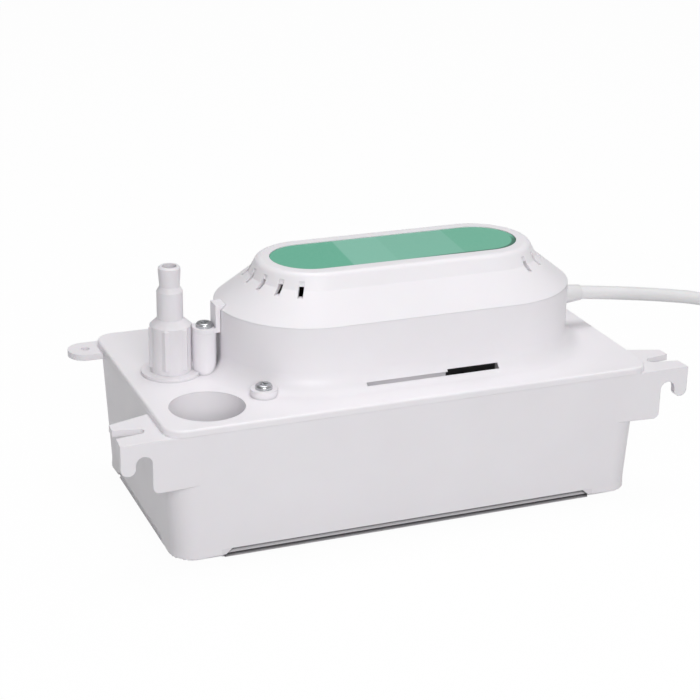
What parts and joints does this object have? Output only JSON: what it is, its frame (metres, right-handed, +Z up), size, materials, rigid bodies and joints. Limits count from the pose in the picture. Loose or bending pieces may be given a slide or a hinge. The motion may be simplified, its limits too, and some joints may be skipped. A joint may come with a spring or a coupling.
{
  "type": "condensate pump",
  "caption": "Tank-type condensate pump with slotted side brackets, a raised motor well under a vented cap, a barbed outlet with a check valve, float switches and a mains lead.",
  "frame": {"origin": "on the surface the pump stands on, under the middle of the tank", "axes": "+X along the tank away from the inlet, towards the end where the mains lead leaves; +Y away from the long side with the slotted brackets; +Z up"},
  "size_m": [0.4864, 0.1784, 0.1221],
  "materials": {
    "white_abs": "white moulded ABS, satin gloss",
    "green_label": "smooth green film, bare of print",
    "zinc_screw": "zinc plated",
    "white_nylon": "natural white nylon",
    "steel_ball": "polished stainless steel",
    "clear_hose": "flexible translucent vinyl",
    "shaft_steel": "ground stainless steel",
    "black_rubber": "moulded nitrile rubber",
    "cast_rotor": "turned laminations with cast end rings",
    "black_nylon": "glass filled black nylon",
    "lamination_steel": "stacked varnished laminations",
    "copper": "enamelled copper wire",
    "zinc_plate": "zinc plated pressed steel",
    "sintered_bronze": "oil filled sintered bronze",
    "float_foam": "hollow blown polypropylene",
    "brass_screw": "plain brass",
    "cord_pvc": "flexible pale grey PVC sheath",
    "brass_pin": "plain brass blades"
  },
  "bodies": {
    "casing": {"tank": "white_abs", "tank_cover": "white_abs", "motor_cap": "white_abs", "label_plate": "green_label", "cap_screw": "zinc_screw", "cover_screws": "zinc_screw", "outlet_body": "white_nylon", "valve_seat": "white_nylon", "discharge_hose": "clear_hose", "volute_housing": "white_abs", "volute_base": "white_abs", "volute_screws": "zinc_screw", "column_screws": "zinc_screw", "stator_core": "lamination_steel", "shading_coils": "copper", "coil_bobbin": "white_nylon", "coil_winding": "copper", "lower_bracket": "zinc_plate", "upper_bracket": "zinc_plate", "lower_bearing": "sintered_bronze", "upper_bearing": "sintered_bronze", "motor_screws": "zinc_screw", "lever_pin": "shaft_steel", "switch_frame": "zinc_plate", "frame_screws": "zinc_screw", "run_switch": "black_nylon", "overflow_switch": "black_nylon", "switch_screws": "zinc_screw", "terminal_block": "white_nylon", "terminal_screws": "brass_screw", "strain_relief": "cord_pvc", "power_cord": "cord_pvc", "cord_coil": "cord_pvc", "cord_tail": "cord_pvc", "plug_body": "cord_pvc", "plug_pins": "brass_pin"},
    "rotor_assembly": {"motor_shaft": "shaft_steel", "rotor": "cast_rotor", "cooling_fan": "black_nylon", "impeller": "white_nylon", "shaft_slinger": "black_rubber"},
    "float_assembly": {"float": "float_foam", "float_rod": "white_nylon"},
    "lever": {"switch_lever": "black_nylon"},
    "run_plunger": {"run_button": "white_nylon"},
    "overflow_plunger": {"overflow_button": "white_nylon"},
    "check_ball": {"valve_ball": "steel_ball"}
  },
  "joints": [
    {"name": "rotor_spin", "type": "hinge", "parent": "casing", "child": "rotor_assembly", "pos_m": [-0.014, 0, 0.09], "axis": [0, 0, 1], "continuous": true},
    {"name": "float_slide", "type": "slide", "parent": "casing", "child": "float_assembly", "axis": [0, 0, 1], "range_m": [0, 0.014]},
    {"name": "lever_swing", "type": "hinge", "parent": "casing", "child": "lever", "pos_m": [0.072, 0, 0.0934], "axis": [0, 1, 0], "range_deg": [0, 33.5]},
    {"name": "run_button_press", "type": "slide", "parent": "casing", "child": "run_plunger", "axis": [0, 0, -1], "range_m": [0, 0.00136], "stiffness_N_per_m": 60, "springref_m": -0.003},
    {"name": "overflow_button_press", "type": "slide", "parent": "casing", "child": "overflow_plunger", "axis": [0, 0, -1], "range_m": [0, 0.00136], "stiffness_N_per_m": 60, "springref_m": -0.003},
    {"name": "ball_lift", "type": "slide", "parent": "casing", "child": "check_ball", "axis": [0, 0, 1], "range_m": [0, 0.004]}
  ],
  "couplings": [
    {"joint": "lever_swing", "follows": "float_slide", "rad_per_m": 41.667},
    {"joint": "run_button_press", "follows": "float_slide", "ratio": 0.096429},
    {"joint": "overflow_button_press", "follows": "float_slide", "ratio": 0.096429}
  ]
}
